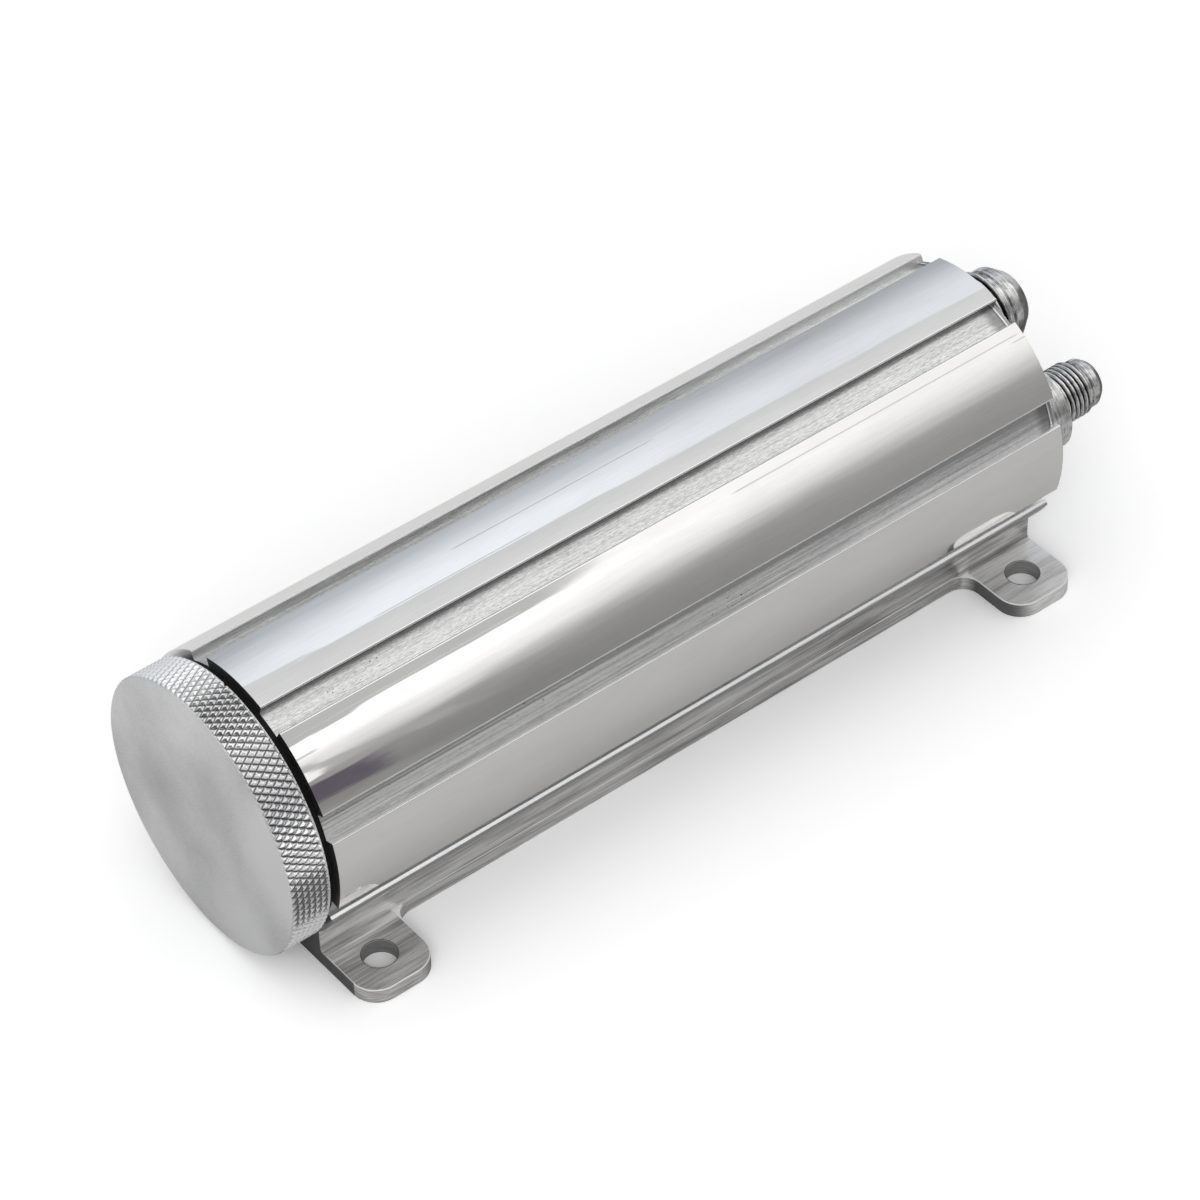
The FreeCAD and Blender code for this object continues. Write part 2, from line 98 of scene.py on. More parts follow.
def add_camera():
    """Adds the camera and makes it the scene's own."""
    level = math.cos(camera_elevation)
    back = Vector((math.sin(camera_azimuth) * level, -math.cos(camera_azimuth) * level,
                   math.sin(camera_elevation)))
    right = UP.cross(back).normalized()
    up = back.cross(right)
    leaned_right = right * math.cos(camera_lean) + up * math.sin(camera_lean)
    leaned_up = up * math.cos(camera_lean) - right * math.sin(camera_lean)
    data = bpy.data.cameras.new("photo_camera")
    data.sensor_width = SENSOR
    data.lens = SENSOR * camera_focal_pixels / FRAME_WIDTH
    middle = (FRAME_WIDTH - 1) / 2
    data.shift_x = (middle - camera_centre[0]) / FRAME_WIDTH
    data.shift_y = (camera_centre[1] - middle) / FRAME_WIDTH
    camera = bpy.data.objects.new("photo_camera", data)
    turned = Matrix((leaned_right, leaned_up, back)).transposed().to_4x4()
    camera.matrix_world = Matrix.Translation(camera_place) @ turned
    bpy.context.scene.collection.objects.link(camera)
    bpy.context.scene.camera = camera
    return camera


camera = add_camera()
bpy.context.scene.view_settings.view_transform = "Standard"
print("lens", round(camera.data.lens, 1), "mm")

# %% [markdown]
# ## Shader maths
#
# Materials here are written as expressions. `Value` wraps one output socket, so `1 - mask` or
# `streaks * 0.3` adds the Math nodes that it needs, and `node` adds any other kind of node.

# %% Shader maths


class Value:
    """One output socket that can be used in an expression."""

    def __init__(self, tree, socket=None):
        self.tree = tree
        self.socket = socket

    def node(self, kind, settings=None, sockets=None, out=0):
        """Adds a node: its settings first, then values or links on its sockets."""
        made = self.tree.nodes.new(kind)
        for name, value in (settings or {}).items():
            if name == "stops":
                fill_ramp(made.color_ramp, value)
            else:
                setattr(made, name, value)
        for name, value in (sockets or {}).items():
            if isinstance(value, Value):
                self.tree.links.new(value.socket, made.inputs[name])
            else:
                made.inputs[name].default_value = value
        return Value(self.tree, made.outputs[out])

    def maths(self, operation, *values):
        """A Math node on this value and others."""
        return self.node("ShaderNodeMath", {"operation": operation}, dict(enumerate((self,) + values)))

    def __add__(self, other):
        return self.maths("ADD", other)

    __radd__ = __add__

    def __mul__(self, other):
        return self.maths("MULTIPLY", other)

    def __sub__(self, other):
        return self.maths("SUBTRACT", other)

    def __rsub__(self, other):
        return (self * -1.0) + other

    def __abs__(self):
        return self.maths("ABSOLUTE")

    def larger(self, other):
        """The larger of two numbers."""
        return self.maths("MAXIMUM", other)

    def smaller(self, other):
        """The smaller of two numbers."""
        return self.maths("MINIMUM", other)

    def split(self):
        """The three components of a vector."""
        made = self.node("ShaderNodeSeparateXYZ", sockets={0: self}).socket.node
        return [Value(self.tree, socket) for socket in made.outputs]

    def stretched(self, x, y, z):
        """A vector with each component multiplied."""
        return self.node("ShaderNodeVectorMath", {"operation": "MULTIPLY"}, {0: self, 1: (x, y, z)})

    def step(self, low, high):
        """0 below low, 1 above high, and a smooth change between them."""
        sockets = {"Value": self, "From Min": low, "From Max": high, "To Min": 0.0, "To Max": 1.0}
        return self.node("ShaderNodeMapRange", {"interpolation_type": "SMOOTHSTEP"}, sockets)

    def past(self, edge, low, high):
        """0 up to low millimetres past an edge, and 1 from high millimetres on."""
        return self.step(edge + low * MM, edge + high * MM)

    def band(self, low, high, soft):
        """1 between low and high, and 0 beyond them."""
        return self.step(low - soft, low) * (1 - self.step(high, high + soft))

    def noise(self, x, y, z, detail=2.0, roughness=0.5, unit=MM):
        """Cloudy noise whose spots are x, y and z millimetres long, or as long in another unit."""
        spots = self.stretched(1 / (x * unit), 1 / (y * unit), 1 / (z * unit))
        sockets = {"Vector": spots, "Scale": 1.0, "Detail": detail, "Roughness": roughness}
        return self.node("ShaderNodeTexNoise", sockets=sockets)

    def colours(self, *ends):
        """A colour between two others, as this value goes from 0 to 1. A plain number is a grey."""
        first, second = (grey(end) if isinstance(end, float) else end for end in ends)
        return self.node("ShaderNodeMix", {"data_type": "RGBA"}, {0: self, 6: first, 7: second}, 2)


def fill_ramp(ramp, stops):
    """Gives a colour ramp its stops, each a position and a colour."""
    while len(ramp.elements) > 1:
        ramp.elements.remove(ramp.elements[-1])
    ramp.elements[0].position, ramp.elements[0].color = stops[0]
    for position, colour in stops[1:]:
        ramp.elements.new(position).color = colour


def grey(level, blue=0.0):
    """A grey, with a little more blue than red where blue is above zero."""
    return (level - blue, level, level + blue, 1.0)


def how_far(first, second):
    """How far a place is from a centre, from its two offsets."""
    return (first * first + second * second).maths("SQRT")


def greatest(values):
    """The largest of several values."""
    return reduce(Value.larger, values)


def ring_noise(*places, detail=2.0):
    """Noise over numbers of one's own choice instead of x, y and z, for the rings of a lathe."""
    vector = places[0].node("ShaderNodeCombineXYZ", sockets=dict(enumerate(places)))
    return vector.node("ShaderNodeTexNoise", sockets={"Vector": vector, "Scale": 1.0, "Detail": detail})


def empty_tree(owner):
    """Gives a material or the world an empty node tree."""
    owner.use_nodes = True
    owner.node_tree.nodes.clear()
    return Value(owner.node_tree)


def put_out(shader, kind):
    """Links a shader to the output of its tree."""
    output = shader.tree.nodes.new(kind)
    shader.tree.links.new(shader.socket, output.inputs["Surface"])


def rays(start, *names):
    """What kind of ray looks, from the Light Path node, by the names of its outputs."""
    made = start.node("ShaderNodeLightPath").socket.node
    return [Value(start.tree, made.outputs[name]) for name in names]


# %% [markdown]
# ## Studio
#
# Polished metal has hardly a colour of its own: it shows the room. So the room is built first. Going round
# the tube from the far side, over the top and down to the camera's side, it is a wide bluish softbox with a
# hard upper edge, a grey ceiling, a white softbox overhead, and then the dim room round the camera. It could
# be built of emitting cards, but a world drawn by direction is smoother and casts no stray shadows. `turn` is
# the angle of a direction round the tube, in degrees, and `x` is how far it points along the tube, so a ramp
# over `x` changes the light from one end of the tube to the other. Straight behind the camera the room is
# darker still, and only the knurl's flanks look there. The camera, and anything seen through glass, gets
# plain white instead, and the metal keeps the studio, because that is what the photo shows in it.

# %% Studio bands
far_box_edge = 64.5
far_box_slant = 35.0
slant_centre = 0.44
overhead_band = (86.0, 96.0)
dim_edge = (102.0, 108.0)
room_start = (119.0, 121.0)
room_edge = (165.0, 172.0)
operator_band = (151.5, 163.0)
pane_band = (138.5, 146.0)
tongue_turn, tongue_x, tongue_slope = 135.5, 0.369, 480.0
diffuse_light = grey(0.80)
x_reach = (0.34, 0.56)

far_low = grey(0.43, 0.032)
far_high = (0.950, 1.0, 1.062, 1.0)
ceiling_low = grey(0.68, 0.012)
ceiling_high = grey(0.80, 0.012)
ceiling_dim = grey(0.53, 0.005)
overhead = grey(1.18)
near_white = grey(1.28)
room_grey = grey(0.30)
room_pale = grey(0.36)
camera_room = grey(0.10)
operator_grey = (0.120, 0.104, 0.130, 1.0)
pane_white = grey(0.98)
tongue_grey = grey(0.42)

near_fade = [(120.0, 1.0), (127.0, 0.88), (132.0, 0.74), (137.0, 0.56), (142.0, 0.34), (147.0, 0.14),
             (153.0, 0.05), (160.0, 0.02), (166.0, 0.0)]
far_gain_along = [(0.36, 0.80), (0.39, 0.95), (0.43, 1.0), (0.463, 0.92), (0.50, 0.80), (0.53, 0.84)]
dim_along = [(0.36, 1.0), (0.432, 1.0), (0.462, 0.001)]
near_edge_along = [(0.366, 119.5), (0.392, 116.5), (0.436, 115.2), (0.462, 105.0), (0.54, 104.0)]
near_gain_along = [(0.37, 1.0), (0.42, 0.98), (0.44, 0.88), (0.463, 0.83), (0.507, 0.775), (0.53, 0.775)]
sag_along = [(0.37, 1.5), (0.40, 0.001), (0.54, 0.001)]
room_along = [(0.37, 0.82), (0.42, 0.80), (0.45, 0.88), (0.49, 0.95), (0.53, 1.0)]
pale_along = [(0.36, 1.0), (0.395, 0.9), (0.41, 0.001)]


def ramped(value, low, high, stops):
    """A number that follows another one between low and high, from pairs of place and number."""
    largest = max(number for _, number in stops)
    ramp = [((place - low) / (high - low), (number / largest,) * 3 + (1.0,)) for place, number in stops]
    place = value.node("ShaderNodeMapRange", sockets={"Value": value, "From Min": low, "From Max": high})
    return place.node("ShaderNodeValToRGB", {"stops": ramp}, {0: place}) * largest


def along(x, stops):
    """A number that changes along the tube, from pairs of x and number."""
    return ramped(x, *x_reach, stops)


def studio_light(direction):
    """The bands of light that the metal sees, by direction."""
    x, y, z = direction.split()
    turn = z.maths("ARCTAN2", y) * (180 / math.pi)
    waver = (direction.noise(0.02, 0.3, 0.3, unit=1.0) - 0.5) * 3.0

    far = turn.step(5.0, 60.0).colours(far_low, far_high)
    far = along(x, far_gain_along).colours(0.0, far)
    dim = turn.step(*dim_edge) * along(x, dim_along)
    ceiling = turn.step(66.0, 86.0).colours(ceiling_low, ceiling_high)
    ceiling = dim.colours(turn.step(*overhead_band).colours(ceiling, overhead), ceiling_dim)
    lean = (x - slant_centre) * far_box_slant
    past_far = (turn - lean + waver * 0.5).step(far_box_edge - 0.5, far_box_edge + 0.5)
    past_near = (turn - along(x, near_edge_along) + waver * 0.6).step(-0.7, 0.7)
    near = along(x, near_gain_along).colours(0.0, near_white)
    light = past_near.colours(past_far.colours(far, ceiling), near)

    share = ramped(turn + waver * 1.2 + along(x, sag_along), 110.0, 170.0, near_fade)
    room = along(x, room_along).colours(0.0, room_grey)
    light = (turn.step(*room_start) * (1 - share)).colours(light, room)
    pale = turn.step(*room_edge) * along(x, pale_along)
    light = pale.colours(light, room_pale)
    near_end = 1 - (x + waver * 0.003).step(0.382, 0.392)
    operator = (turn + waver * 2.0).band(*operator_band, 2.0) * near_end * x.step(0.0, 0.2)
    light = operator.colours(light, operator_grey)
    pane = turn.band(*pane_band, 1.0) * x.band(0.30, 0.376, 0.003)
    light = pane.colours(light, pane_white)
    tongue = abs(turn - tongue_turn - (x - tongue_x) * tongue_slope + waver)
    tongue = (1 - tongue.step(1.6, 3.2)) * x.band(0.30, 0.400, 0.02) * 0.75
    light = tongue.colours(light, tongue_grey)
    behind_camera = turn.step(116.0, 134.0) * (1 - x.step(-0.30, -0.12))
    return behind_camera.colours(light, camera_room)


def build_studio():
    """The world: bands of soft light by direction, and white behind the floor."""
    world = bpy.data.worlds.new("studio")
    bpy.context.scene.world = world
    start = empty_tree(world)
    light = studio_light(start.node("ShaderNodeTexCoord", out="Generated"))
    camera_ray, diffuse_ray, glass_ray = rays(start, "Is Camera Ray", "Is Diffuse Ray", "Is Transmission Ray")
    light = diffuse_ray.colours(light, diffuse_light)
    light = camera_ray.larger(glass_ray).colours(light, 1.0)
    shader = start.node("ShaderNodeBackground", sockets={"Color": light, "Strength": 1.0})
    put_out(shader, "ShaderNodeOutputWorld")


build_studio()

# %% [markdown]
# ## Lamp and floor
#
# The photo's shadow is soft, nearly as under a cloudy sky, and a little darker towards the fittings. So the
# rough surfaces get an even light, and one weak area lamp stands on the camera's side, nearer to the cap. Its
# shape isn't seen in the metal, because the studio already has the softboxes there. The floor is plain paper.
# The photo is exposed so that this paper is white: the camera sees it brighter than the metal does, and its
# shadow is kept. Behind the tube the paper is painted brighter than in front, as painted light. A dark card
# lies behind the fittings, where only the metal sees it, as photographers use to give bright metal an
# outline.

# %% Lamp
lamp_place = Vector((-0.60, -0.62, 0.55))
lamp_size = 0.5
lamp_power = 2.2


def add_lamp():
    """One weak soft lamp on the camera's side."""
    bpy.ops.object.light_add(type="AREA", location=lamp_place)
    lamp = bpy.context.object
    lamp.name = "front_softbox"
    lamp.rotation_euler = lamp_place.to_track_quat("Z", "Y").to_euler()
    lamp.data.size = lamp_size
    lamp.data.energy = lamp_power
    lamp.visible_glossy = False
    lamp.visible_camera = False


add_lamp()

# %% Floor
floor_size = 6.0
floor_near = grey(0.56)
floor_far = grey(0.82)
floor_seen = grey(1.25)
brighter_over = (0.0, 0.12)
dark_card = grey(0.17)
card_edge = (0.145, 0.165)
card_half_width, card_soft = 0.06, 0.015


def add_floor():
    """A plain pale floor under the feet."""
    bpy.ops.mesh.primitive_plane_add(size=floor_size, location=(0, 0, 0))
    floor = bpy.context.object
    floor.name = "floor"
    material = bpy.data.materials.new("floor_paper")
    start = empty_tree(material)
    camera_ray, glass_ray = rays(start, "Is Camera Ray", "Is Transmission Ray")
    x, y, _ = start.node("ShaderNodeTexCoord", out="Object").split()
    # Painted light: the paper behind the tube is painted brighter than in front.
    paper = y.step(*brighter_over).colours(floor_near, floor_far)
    on_card = x.step(*card_edge) * y.band(-card_half_width, card_half_width, card_soft)
    paper = on_card.colours(paper, dark_card)
    colour = camera_ray.larger(glass_ray).colours(paper, floor_seen)
    put_out(start.node("ShaderNodeBsdfDiffuse", sockets={"Color": colour}), "ShaderNodeOutputMaterial")
    floor.data.materials.append(material)


add_floor()

# %% [markdown]
# ## Metal
#
# Every metal part shares one kind of shader. What differs is how rough it is, how its tool marks run and how
# dark it is, so `new_material` takes functions that work those out from the place on the object. A painted
# image could give the same, but it would need an unwrapped surface, and these patterns keep their true scale.

# %% Material helpers


def new_material(name, colour, roughness, metallic=1.0, height=None, bump=0.3, distance=0.02 * MM,
                 extra=None):
    """A Principled material. Colour, roughness, metallic and height may be functions of the place."""
    material = bpy.data.materials.new(name)
    start = empty_tree(material)
    at = start.node("ShaderNodeTexCoord", out="Object")
    sockets = {}
    for socket, made in (("Base Color", colour), ("Roughness", roughness), ("Metallic", metallic)):
        sockets[socket] = made(at) if callable(made) else made
    if height:
        sockets["Normal"] = start.node("ShaderNodeBump", sockets={"Strength": bump, "Distance": distance,
                                                                  "Height": height(at)})
    sockets.update(extra or {})
    put_out(start.node("ShaderNodeBsdfPrincipled", sockets=sockets), "ShaderNodeOutputMaterial")
    return material


def wear(node, material):
    """Gives a node of the frame its material."""
    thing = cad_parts[node]
    thing.data.materials.clear()
    thing.data.materials.append(material)


Around = namedtuple("Around", "x across height radius angle")


def about_axis(at, centre_y=0.0):
    """x, y and z from an axis along the tube, and the distance and the angle in degrees about it."""
    x, y, z = at.split()
    across, height = y - centre_y, z - axis_z
    angle = height.maths("ARCTAN2", across) * (180 / math.pi)
    return Around(x, across, height, how_far(across, height), angle)


# %% [markdown]
# ## The extruded body
#
# The body comes out of its press with long drawing marks, and only the eight lands are polished afterwards,
# to a near mirror. The grooves, the base and the feet keep the brushed look, with dark dust in the marks, and
# the walls of the grooves stay dull; those that face up are painted lighter and those that face down darker,
# as painted light and shade. The solid already has the right shape, so one material tells these places apart
# by where they are about the tube's axis. A slight bump rounds the lands towards their edges. The lands'
# edges are rougher, as worn metal, and they and the feet's edges are painted paler, as painted highlights
# that draw thin bright lines. Painted shade darkens the feet's roots, bends and holes, and parts of the
# grooves, the lowest lands and the base's front end. The base has lost its gloss to a thin oxide, so its
# metal is mixed with a little plain grey.

# %% Places on the body
groove_depth = 2.4 * MM
bore_r = 29.0 * MM
land_half_angle = 16.9
leg_half_width = 24.8 * MM
leg_root_drop = 20.0 * MM
foot_top = 4.1 * MM
foot_length = 20.0 * MM
foot_tip_y = 43.5 * MM
foot_corner_r = 6.5 * MM
foot_hole_r = 4.2 * MM
foot_hole_x = rear_x - 9.8 * MM
foot_hole_y = 33.8 * MM
land_edge_r = 0.35 * MM
flange_thickness = 1.2 * MM
groove_r = land_r - groove_depth
land_angle = 45.0
lip_angles = (-154.0, -149.0)
lip_radii = (groove_r + 1.05 * MM, groove_r + 1.8 * MM)
ARC = math.pi / 180 * land_r


def side_angle(at):
    """The angle about the tube's axis as on the side of the small fitting, with the other side mirrored."""
    here = about_axis(at)
    return here.height.maths("ARCTAN2", abs(here.across) * -1.0) * (180 / math.pi)


def facing_down(at):
    """1 on the walls that lead down from a land, and 0 on those that lead up to one."""
    return 1 - (side_angle(at) * (1 / land_angle)).maths("FRACT").step(0.49, 0.51)


def body_places(at):
    """Masks for the polished lands, the walls of the grooves, the two end faces and the base."""
    x, across, height, radius, _ = about_axis(at)
    above_root = height.past(-leg_root_drop, 1.0, 1.2)
    beside = abs(across).past(leg_half_width, 0.1, 0.2)
    tube = above_root.larger(beside * height.past(0, -26, -25.9))
    tube = tube * radius.past(bore_r, 1.0, 1.2)
    end = 1 - x.band(front_x + 0.03 * MM, rear_x - 0.03 * MM, 0.02 * MM)
    polished_r = land_r - land_edge_r
    land = tube * radius.past(polished_r, -0.1, 0.05) * (1 - end)
    wall = tube * radius.band(groove_r + 0.1 * MM, polished_r - 0.1 * MM, 0.1 * MM) * (1 - end)
    return land, wall, end, 1 - tube


def land_edge(at):
    """How far inside its land a place is, in metres along the land's arc."""
    return (land_half_angle - about_axis(at).angle.maths("PINGPONG", land_angle / 2)) * ARC


def edge_wear_and_highlight(at):
    """1 on the narrow rounded edges of the lands, which are rougher as worn metal and paler as a painted
    highlight.
    """
    return 1 - land_edge(at).past(0, 0.14, 0.34)


def lip(at):
    """1 on the lip above the feet: the wall that leads down to the lowest lands, and faces up."""
    return side_angle(at).band(*lip_angles, 1.0) * about_axis(at).radius.band(*lip_radii, 0.12 * MM)


def foot_edge(at):
    """How far a place on a foot's top is inside the foot's outline, and how far outside its hole."""
    x, y, _ = at.split()
    from_end = rear_x - abs(x)
    out = foot_tip_y - abs(y)
    low = from_end.smaller(foot_length - from_end)
    reach = how_far((foot_corner_r - low).larger(0.0), (foot_corner_r - out).larger(0.0))
    inside = (foot_corner_r - reach).smaller(low.smaller(out))
    to_hole = how_far(abs(x) - foot_hole_x, abs(y) - foot_hole_y) - foot_hole_r
    return inside, to_hole


def foot_shades(at):
    """Painted shade about the feet: on the leg above them, along their root's line, and in their bends and
    holes.
    """
    x, y, z = at.split()
    side = abs(y)
    inner = foot_length - (rear_x - abs(x))
    on_leg = 1 - side.past(leg_half_width, 0.3, 0.4)
    beside = on_leg * z.past(foot_top, 0, 0.5) * x.past(0, 0, 50)
    beside = beside * inner.past(0, -0.5, 1.5)
    root = z.band(foot_top + 0.10 * MM, foot_top + 0.36 * MM, 0.1 * MM) * inner.past(0, 0, 1.0)
    below = 1 - z.past(foot_top, -0.3, -0.2)
    bend = side.past(leg_half_width, 0.3, 4)
    bend = bend * inner.band(-1.5 * MM, 0.5 * MM, 6 * MM)
    in_hole = (1 - foot_edge(at)[1].past(0, 0.03, 0.10)) * 0.6
    root = root * (1 - side.past(leg_half_width, 1.2, 1.6))
    return beside, root, below * bend.larger(in_hole)


def painted_foot_edges(at):
    """1 on the feet's edges, on top and atop their sides, for a painted highlight, and 1 on their holes'
    edge, for painted shade.
    """
    _, y, z = at.split()
    inside, to_hole = foot_edge(at)
    on_top = z.past(foot_top, -0.02, 0) * (1 - z.past(foot_top, 0.1, 0.2))
    outline = inside.past(0, -0.4, -0.2) * (1 - inside.past(0, 0.10, 0.34))
    sides = z.band(foot_top - 0.22 * MM, foot_top, 0.1 * MM) * (1 - inside.past(0, 0.05, 0.15))
    outline = outline * abs(y).past(leg_half_width, 1.5, 4.0)
    return (on_top * outline).larger(sides), on_top * (1 - to_hole.past(0, 0.10, 0.30))


# %% Body finish
groove_pale = (0.93, 0.92, 0.905, 1.0)
milled_dark, milled_pale = (0.33, 0.32, 0.315, 1.0), (1.0, 0.99, 0.98, 1.0)
polish_dull, polish_bright = (0.880, 0.868, 0.850, 1.0), (0.945, 0.935, 0.920, 1.0)
# Each line's start, end, angle and width, in millimetres and degrees
scratch_lines = [(-44, 10, 86.6, 0.20), (20, 104, 122.8, 0.24), (-106, -45, 122.4, 0.22),
                 (-70, -30, 97.0, 0.18), (-107, -103.5, 129.6, 0.35), (104.5, 107, 125.0, 0.25)]
oxide_on_leg, oxide_on_foot, matte_on_edge_highlight = 0.14, 0.28, 0.40
edge_round = 0.55 * MM
edge_drop = 4.4
lip_slope = 8.0
body_bump = 0.6
body_bump_distance = 0.06 * MM


def drawing_marks(at, detail=3.0, gain=1.0):
    """Fine marks that run the length of the tube. Bump needs less detail, and a gain that makes up for it."""
    fine = at.noise(7, 0.11, 0.11, detail, 0.7)
    broad = at.noise(45, 0.5, 0.5, min(detail, 2.0))
    return (fine * 0.65 + broad * 0.35) * gain


def base_marks(at, detail=4.0, gain=1.0):
    """Coarser marks of the base and the feet, with dark scores among them."""
    _, y, z = at.split()
    fine = at.noise(18, 0.11, 0.11, detail, 0.7)
    broad = at.noise(30, 2.5, 2.5, min(detail, 3.0), 0.6)
    along_x = (fine * 0.6 + broad * 0.4) * gain
    round_edge = at.noise(6, 6, 0.16, min(detail, 3.0), 0.6) * (0.5 * gain) + 0.25
    is_edge = abs(y).past(leg_half_width, 0.5, 1.0)
    is_edge = is_edge * (1 - z.past(foot_top, -0.12, -0.06))
    return along_x * (1 - is_edge) + round_edge * is_edge


def scratch(at, start, end, degrees, width):
    """A fine line along the tube, at one angle."""
    here = about_axis(at)
    off = abs(here.angle - degrees) * ARC
    return here.x.band(start, end, 3 * MM) * (1 - off.step(width * 0.4, width))


def scratches(at):
    """The few lines that show on the lands."""
    return greatest(scratch(at, start * MM, end * MM, degrees, width * MM)
                    for start, end, degrees, width in scratch_lines)


def shade_before_flange(x):
    """The strip of a groove just before the plug's flange, which is darkened as painted shade."""
    start = rear_x - flange_thickness - 4.5 * MM
    return x.past(start, 0, 3.0)


def turned_rings(at):
    """Rings round the tube's axis, as a lathe leaves on a face."""
    here = about_axis(at)
    return ring_noise(here.radius * 4000.0, here.angle * 0.02)


def body_colour(at):
    """Bright lands, brushed dusty grooves, a warmer base, and painted light and shade on walls, feet and
    edges.
    """
    land, wall, end, base = body_places(at)
    x, across, height, radius, angle = about_axis(at)
    on_side = side_angle(at)
    marks = drawing_marks(at)
    dashes = at.noise(1.3, 0.15, 0.15, 2.0, 0.6)
    streaks = at.noise(60, 0.45, 0.45, 3.0, 0.6)
    lower = on_side.step(140.0, 142.0)
    tone = marks * 0.40 + dashes * (0.40 - lower * 0.20) + streaks * (0.20 + lower * 0.20) - x * 0.45 * lower
    # Painted shade: dark bands in the groove above the side land, under the upper land's edge and lower down.
    shade = on_side.band(151.0, 155.2, 0.8) * 0.11 + on_side.band(162.4, 164.0, 0.6) * 0.05
    tone = (tone - shade).step(0.38, 0.60)
    brushed = tone.colours(0.46, groove_pale)
    crowd = at.noise(24, 4, 4) + lower * 0.08 - x.past(0, 0, 50) * 0.2
    pits = at.noise(0.8, 0.4, 0.4, 1.0).step(0.70, 0.73) * crowd.step(0.57, 0.68)
    brushed = pits.colours(brushed, 0.07)
    # Painted shade: the grooves are darkened just before the plug's flange.
    brushed = (shade_before_flange(x) * 0.65).colours(brushed, 0.13)
    # Painted light and shade: groove walls facing up are painted lighter, those facing down darker.
    lit_wall = (marks + x.past(0, 0, 80) * 0.25).step(0.34, 0.72).colours(0.50, 1.0)
    shaded_wall = abs(on_side).step(125.0, 135.0).colours(0.26, 0.10)
    # Painted shade: a dark line just under the land's edge on the walls that face down.
    shaded_wall = radius.band(land_r - 0.85 * MM, land_r - 0.55 * MM, 0.08 * MM).colours(shaded_wall, 0.03)
    brushed = wall.colours(brushed, facing_down(at).colours(lit_wall, shaded_wall))
    # Painted highlight: the lip above the feet is painted white.
    brushed = (wall * lip(at)).colours(brushed, 1.0)
    on_foot = abs(across).past(leg_half_width, 0.4, 1.0)
    milled = base_marks(at) + x * (on_foot * 0.65 - 0.3)
    milled = milled.step(0.37, 0.61).colours(milled_dark, milled_pale)
    # Painted shade: the leg above the feet, the feet's roots, bends and holes, and the upper leg between
    # them.
    ends, root, inner_side = foot_shades(at)
    shaded_upper_leg = height.past(0, -27, -23) * x.band(-85 * MM, 85 * MM, 8 * MM)
    milled = (ends * 0.15 + root * 0.5 + inner_side * 0.85 + shaded_upper_leg * 0.40).colours(milled, 0.06)
    # Painted highlight on the feet's edges, painted white, and painted shade on the edges of their holes.
    rim, hole_edge_shade = painted_foot_edges(at)
    milled = hole_edge_shade.colours(rim.colours(milled, 1.0), 0.13)
    brushed = base.colours(brushed, milled)
    mottle = at.noise(26, 7, 7, 3.0, 0.6) * 0.6 + at.noise(9, 0.35, 0.35, 3.0) * 0.4
    polished = mottle.step(0.3, 0.7).colours(polish_dull, polish_bright)
    polished = (scratches(at) * 0.42).colours(polished, 0.35)
    # Painted highlight: the lands' rounded edges are painted paler.
    polished = edge_wear_and_highlight(at).colours(polished, 1.0)
    # Painted shade: the lowest lands, near the base, are painted darker.
    polished = (1 - height.past(0, -16.5, -16.0)).colours(polished, 0.42)
    faced = turned_rings(at).step(0.3, 0.7).colours(0.38, 0.62)
    # Painted shade: the front end face of the base is painted dark.
    faced = (base * (1 - x.step(-0.05, 0.05))).colours(faced, 0.17)
    # Painted highlight: the end faces are painted nearly white in their upper far sector.
    faced = ((1 - base) * angle.band(25.0, 64.0, 2.0)).colours(faced, 0.97)
    return end.colours(land.colours(brushed, polished), faced)


def body_roughness(at):
    """Nearly a mirror on the lands, most of all at the cap's end, and brushed elsewhere."""
    land, wall, _, _ = body_places(at)
    x = at.split()[0]
    haze = at.noise(18, 5, 5, 2.0).step(0.4, 0.75)
    from_cap = x.past(front_x, 20, 60)
    polished = 0.022 + haze * (0.020 + from_cap * 0.030) + from_cap * 0.012 + scratches(at) * 0.2
    polished = polished + edge_wear_and_highlight(at) * 0.45
    brushed = 0.20 + drawing_marks(at) * 0.20 + wall * 0.10
    brushed = brushed - wall * lip(at) * 0.28
    return land * polished + (1 - land) * brushed


def body_metallic(at):
    """Bare metal on the tube, a thin dull oxide on the base, and a more matte metal on the feet's painted
    highlights.
    """
    _, _, end, base = body_places(at)
    on_foot = abs(at.split()[1]).past(leg_half_width, 0, 1.0)
    # The feet's painted highlight edges are made more matte, so that their white shows as a bright line.
    oxide = oxide_on_leg + on_foot * oxide_on_foot + painted_foot_edges(at)[0] * matte_on_edge_highlight
    return 1 - base * (1 - end) * oxide


def body_height(at):
    """Marks in the grooves and on the base, and a faint waviness and round edges under the polish."""
    land, wall, end, base = body_places(at)
    x, _, _, radius, _ = about_axis(at)
    ripple = at.noise(9, 1.1, 1.1, 1.0, 0.6)
    waves = at.noise(34, 3.2, 3.2, 1.0)
    near_cap = 2 - x.past(front_x, 0, 30)
    soft = (waves + ripple * 0.10) * near_cap
    fall = 1 - (land_edge(at) * (1 / edge_round)).smaller(1.0).larger(0.0)
    soft = soft - fall * fall * edge_drop
    marks = (1 - base) * drawing_marks(at, 1.0, 0.78) + base * base_marks(at, 1.0, 0.72) * 1.5
    marks = marks - wall * lip(at) * (radius - groove_r) * (lip_slope / MM)
    return end * turned_rings(at) * 0.5 + (1 - end) * ((1 - land) * marks + land * soft)


body_metal = new_material("body_metal", body_colour, body_roughness, body_metallic, body_height, body_bump,
                          body_bump_distance)
wear("body", body_metal)

# %% [markdown]
# ## Modelling helpers
#
# Turned parts are drawn as half a section and spun, as a lathe works. The outline starts as a single vertex
# that is extruded from point to point, which keeps every size exact.

# %% Modelling helpers


